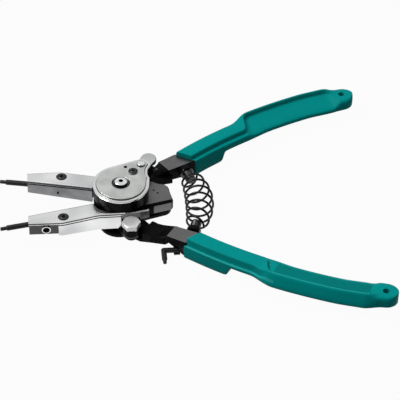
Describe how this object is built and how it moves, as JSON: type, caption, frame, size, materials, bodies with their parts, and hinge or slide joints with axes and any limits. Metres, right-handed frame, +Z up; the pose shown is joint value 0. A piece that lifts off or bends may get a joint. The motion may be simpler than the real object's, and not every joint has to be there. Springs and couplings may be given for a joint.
{
  "type": "circlip pliers",
  "caption": "Convertible circlip pliers with bright channel jaws, straight tips, a covered hub, a locking thumb lever, a barrel return spring and moulded grips.",
  "frame": {"origin": "on the central pivot axis, in the plane the tool lies on (the underside of the near handle's head)", "axes": "+X from the pivot towards the handles, +Z up along the pivot axis towards the cover, +Y towards the far handle, on the thumb lever's side"},
  "size_m": [0.2295, 0.1992, 0.0278],
  "materials": {
    "chrome": "satin to bright nickel-chrome",
    "black_steel": "black oxide, slightly oiled",
    "forged_steel": "black phosphate forging",
    "bright_steel": "ground",
    "grip": "moulded vinyl, satin",
    "spring_steel": "black oxide wire"
  },
  "bodies": {
    "near_handle": {"near_forging": "forged_steel", "near_drive_pin": "bright_steel", "near_grip": "grip", "near_spring_seat": "black_steel", "stowed_tip": "black_steel", "stowage_clip": "bright_steel", "clip_screw": "black_steel", "return_spring": "spring_steel"},
    "far_handle": {"far_forging": "forged_steel", "far_drive_pin": "bright_steel", "far_grip": "grip", "far_spring_seat": "black_steel"},
    "carrier": {"base_plate": "black_steel", "hub": "black_steel", "rear_block": "black_steel", "rear_cap": "forged_steel", "rear_post": "black_steel", "pivot_bolt": "bright_steel", "bolt_washer": "bright_steel", "cover_plate": "chrome", "cover_cap": "chrome", "cover_screw": "black_steel", "near_jaw_pin": "bright_steel", "far_jaw_pin": "bright_steel", "near_jaw_nut": "chrome", "far_jaw_nut": "chrome", "pawl_pin": "bright_steel", "pawl_spring": "spring_steel"},
    "near_jaw": {"near_jaw_core": "black_steel", "near_jaw_shell": "chrome", "near_tip": "black_steel", "near_top_screw": "black_steel", "near_side_screw": "bright_steel"},
    "far_jaw": {"far_jaw_core": "black_steel", "far_jaw_shell": "chrome", "far_tip": "black_steel", "far_top_screw": "black_steel", "far_side_screw": "bright_steel"},
    "thumb_lever": {"thumb_lever": "chrome", "pawl": "forged_steel"}
  },
  "joints": [
    {"name": "handles_close", "type": "hinge", "parent": "near_handle", "child": "far_handle", "pos_m": [0, 0, 0.007], "axis": [0, 0, -1], "range_deg": [0, 42], "stiffness_Nm_per_rad": 0.6, "springref_deg": -17.19, "deforming": ["return_spring"]},
    {"name": "carrier_follows", "type": "hinge", "parent": "near_handle", "child": "carrier", "pos_m": [0, 0, 0.007], "axis": [0, 0, -1], "range_deg": [0, 21]},
    {"name": "near_jaw_swings", "type": "hinge", "parent": "carrier", "child": "near_jaw", "pos_m": [0.005, -0.023, 0.009], "axis": [0, 0, -1], "range_deg": [0, 14]},
    {"name": "far_jaw_swings", "type": "hinge", "parent": "carrier", "child": "far_jaw", "pos_m": [0.005, 0.023, 0.009], "axis": [0, 0, 1], "range_deg": [0, 14]},
    {"name": "lever_locks", "type": "hinge", "parent": "carrier", "child": "thumb_lever", "pos_m": [0.0133, 0.0169, 0.018], "axis": [0, 0, 1], "range_deg": [0, 22]}
  ],
  "couplings": [
    {"joint": "carrier_follows", "follows": "handles_close", "ratio": 0.5},
    {"joint": "near_jaw_swings", "follows": "handles_close", "ratio": 0.33333},
    {"joint": "far_jaw_swings", "follows": "handles_close", "ratio": 0.33333}
  ]
}
